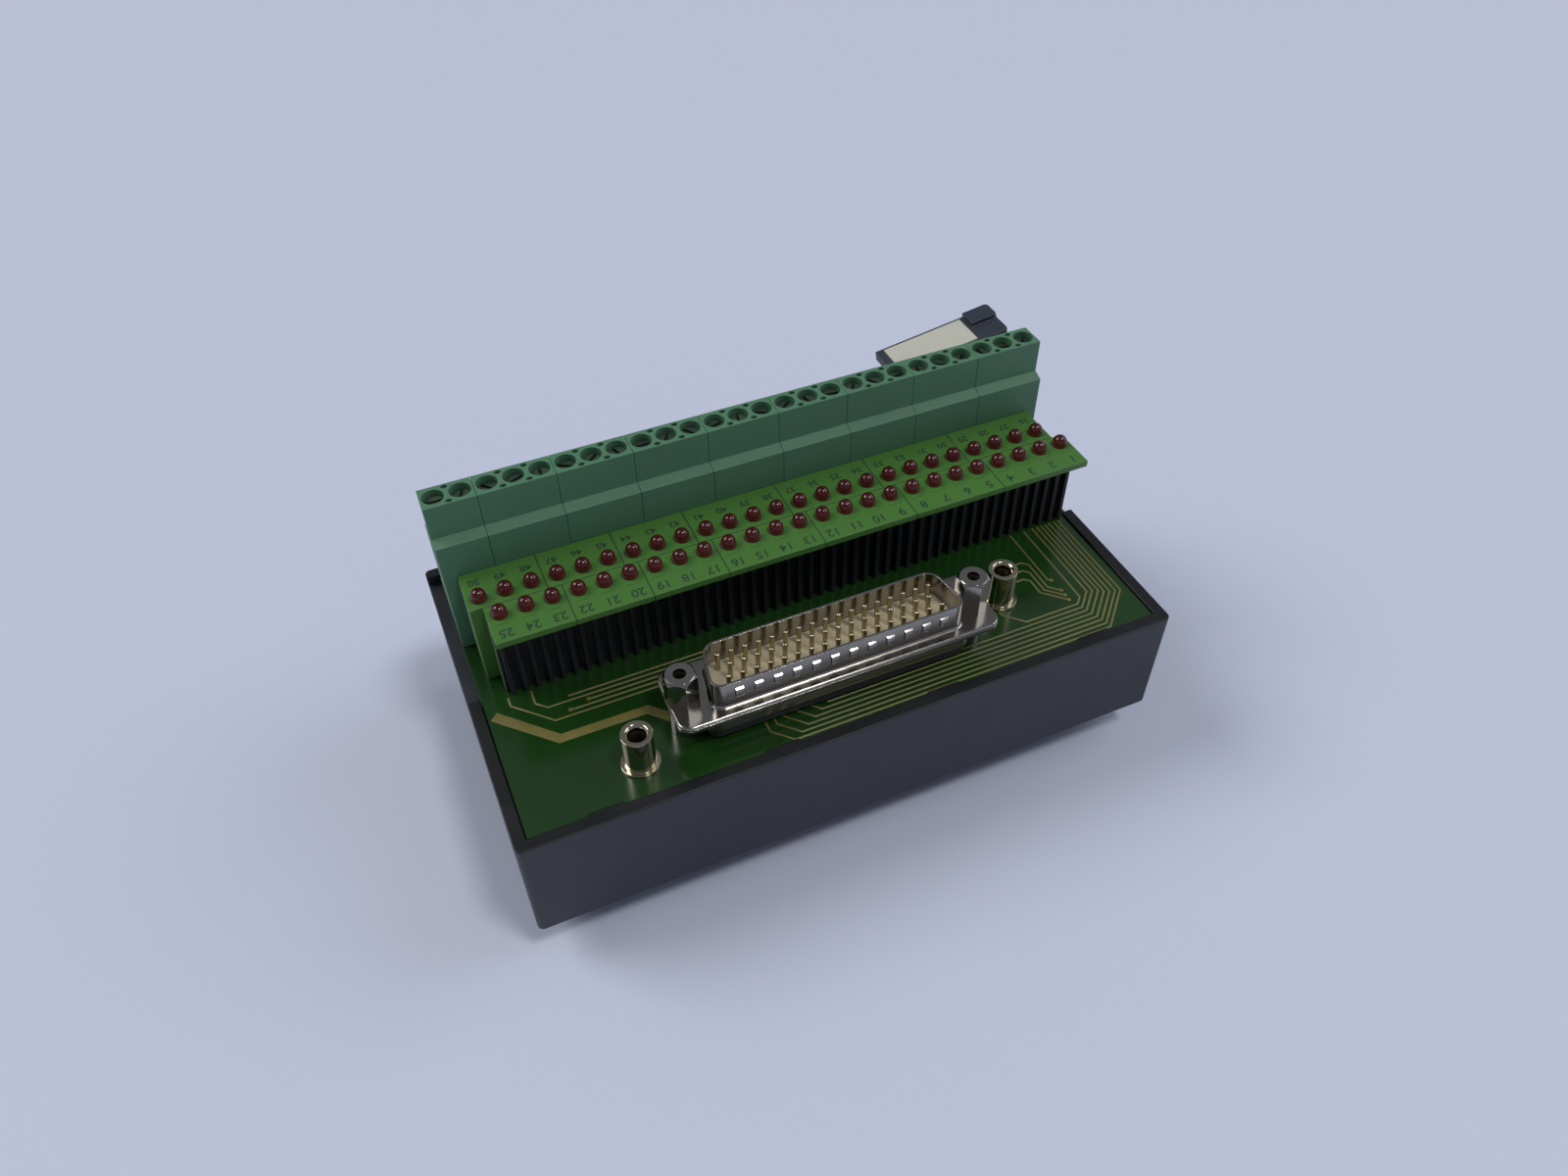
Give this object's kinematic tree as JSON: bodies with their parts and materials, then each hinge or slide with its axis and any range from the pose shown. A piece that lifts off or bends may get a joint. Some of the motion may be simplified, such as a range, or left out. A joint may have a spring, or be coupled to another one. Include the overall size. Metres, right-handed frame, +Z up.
{
  "type": "d-sub terminal block adapter",
  "caption": "Rail-mounted tray with a circuit board that links a d-sub plug with jack posts to a stepped screw terminal block and rows of signal lamps.",
  "frame": {"origin": "under the middle of the tray, on the surface that the rail feet stand on", "axes": "+X along the row of terminals, +Z up; the plug is on the -Y side and the wires enter on the +Y side"},
  "size_m": [0.1376, 0.077, 0.0701],
  "materials": {
    "tray_black": "matt",
    "board_green": "glossy lacquer",
    "terminal_green": "satin",
    "deck_green": "satin",
    "plated_steel": "zinc plated",
    "lamp_red": "diffused lens",
    "network_black": "matt",
    "plug_plating": "bright tin plating",
    "insulator_white": "matt",
    "insulator_black": "matt",
    "contact_brass": "gold flash",
    "post_nickel": "nickel plated",
    "standoff_nickel": "nickel plated with a warm tint",
    "foot_grey": "matt",
    "latch_grey": "matt",
    "spring_steel": "bright",
    "label_cream": "matt"
  },
  "bodies": {
    "module": {"base_tray": "tray_black", "circuit_board": "board_green", "terminal_housing_1": "terminal_green", "terminal_housing_2": "terminal_green", "terminal_housing_3": "terminal_green", "terminal_housing_4": "terminal_green", "terminal_housing_5": "terminal_green", "terminal_housing_6": "terminal_green", "terminal_housing_7": "terminal_green", "terminal_housing_8": "terminal_green", "terminal_housing_9": "terminal_green", "upper_clamp_screws": "plated_steel", "upper_clamp_plates": "plated_steel", "lower_clamp_screws": "plated_steel", "lower_clamp_plates": "plated_steel", "lamp_deck_1": "deck_green", "lamp_deck_2": "deck_green", "lamp_deck_3": "deck_green", "lamp_deck_4": "deck_green", "lamp_deck_5": "deck_green", "lamp_deck_6": "deck_green", "lamp_deck_7": "deck_green", "front_lamps": "lamp_red", "rear_lamps": "lamp_red", "resistor_networks": "network_black", "plug_front_shell": "plug_plating", "plug_rear_shell": "plug_plating", "front_insulator": "insulator_white", "rear_insulator": "insulator_black", "plug_contacts": "contact_brass", "jack_posts": "post_nickel", "flange_spacers": "post_nickel", "post_nuts": "post_nickel", "round_standoffs": "standoff_nickel", "rail_foot_left": "foot_grey", "latch_spring_left": "spring_steel", "rail_foot_right": "foot_grey", "latch_spring_right": "spring_steel", "foot_screws": "plated_steel", "marker_carrier": "tray_black", "marker_label": "label_cream"},
    "latch_left": {"foot_latch_left": "latch_grey"},
    "latch_right": {"foot_latch_right": "latch_grey"}
  },
  "joints": [
    {"name": "latch_left_slide", "type": "slide", "parent": "module", "child": "latch_left", "axis": [0, -1, 0], "range_m": [0, 0.0035], "stiffness_N_per_m": 150, "springref_m": -0.002, "deforming": ["latch_spring_left"]},
    {"name": "latch_right_slide", "type": "slide", "parent": "module", "child": "latch_right", "axis": [0, -1, 0], "range_m": [0, 0.0035], "stiffness_N_per_m": 150, "springref_m": -0.002, "deforming": ["latch_spring_right"]}
  ]
}
